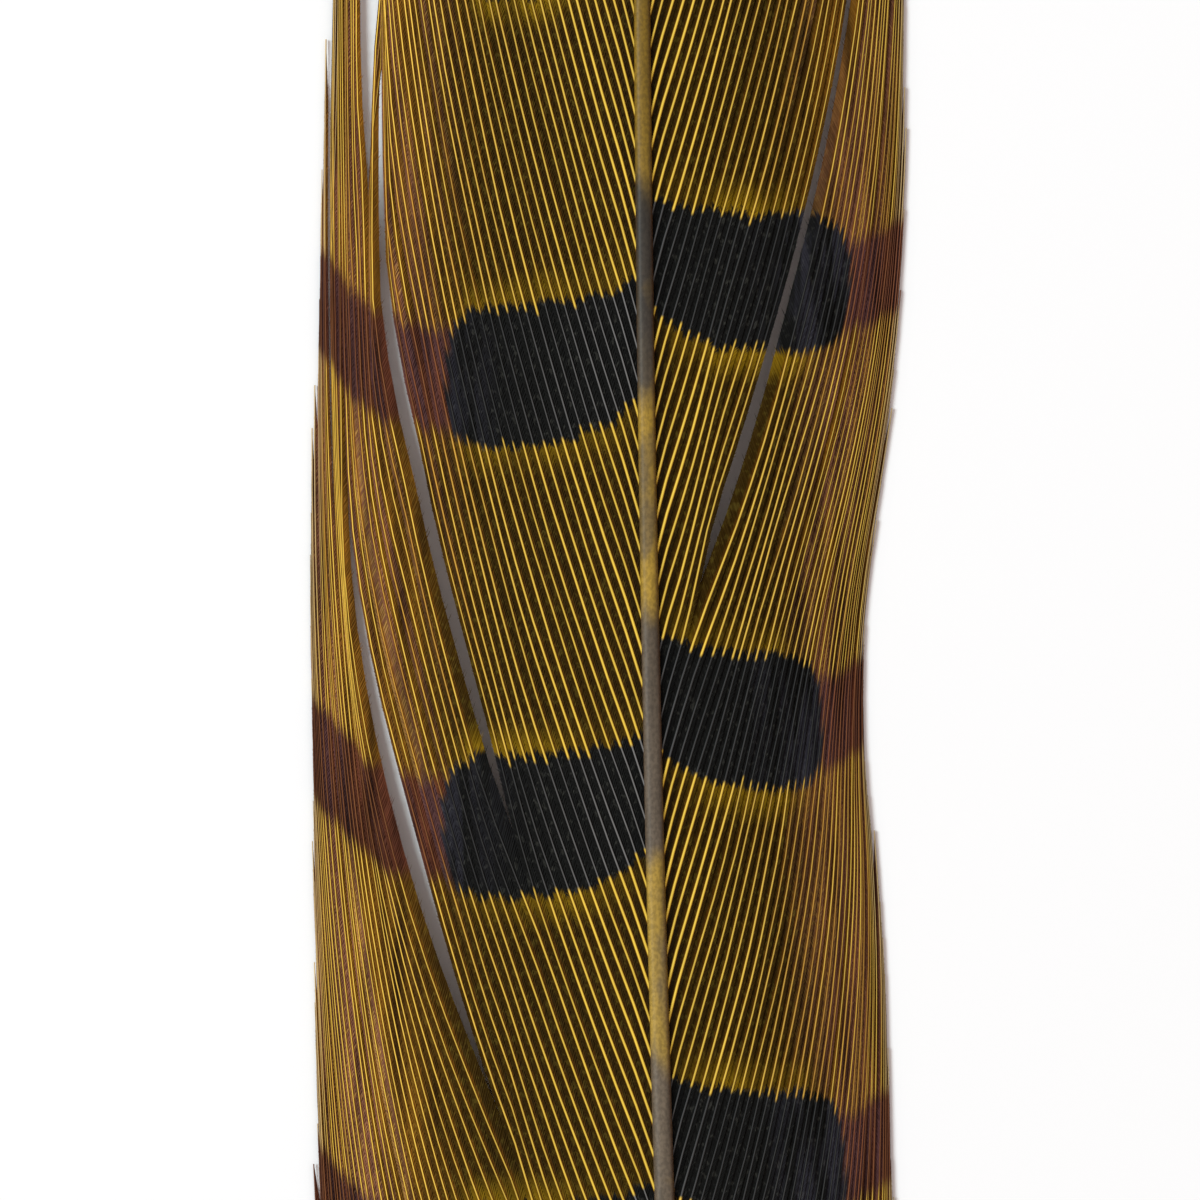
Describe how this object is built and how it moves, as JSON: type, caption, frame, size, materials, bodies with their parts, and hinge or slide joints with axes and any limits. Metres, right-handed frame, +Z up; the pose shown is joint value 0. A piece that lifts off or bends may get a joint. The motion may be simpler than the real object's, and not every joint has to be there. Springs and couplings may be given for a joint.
{
  "type": "pheasant tail feather",
  "caption": "Long barred tail feather lying flat: tapering quill and shaft, arched split vane on both sides, downy foot.",
  "frame": {"origin": "middle of the bounding box at the surface the feather lies on", "axes": "+Y from the quill towards the tip, +Z up out of the upper face of the vane, +X to the right of someone looking down with the tip away from them"},
  "size_m": [0.0374, 0.506, 0.0042],
  "materials": {
    "shaft": "satin keratin, olive gold with grey stretches beside the black bars",
    "down": "loose grey-brown down",
    "vane_left": "hooked barbs, dark olive and gold with black bars that end in maroon",
    "vane_right": "hooked barbs, dark olive and gold with black bars that end in maroon"
  },
  "bodies": {
    "root": {"shaft": "shaft", "down_left": "down", "down_right": "down", "web_left_base": "vane_left", "web_left_sliver": "vane_left", "web_left_tip": "vane_left", "web_right_base": "vane_right", "web_right_tip": "vane_right"}
  },
  "joints": []
}
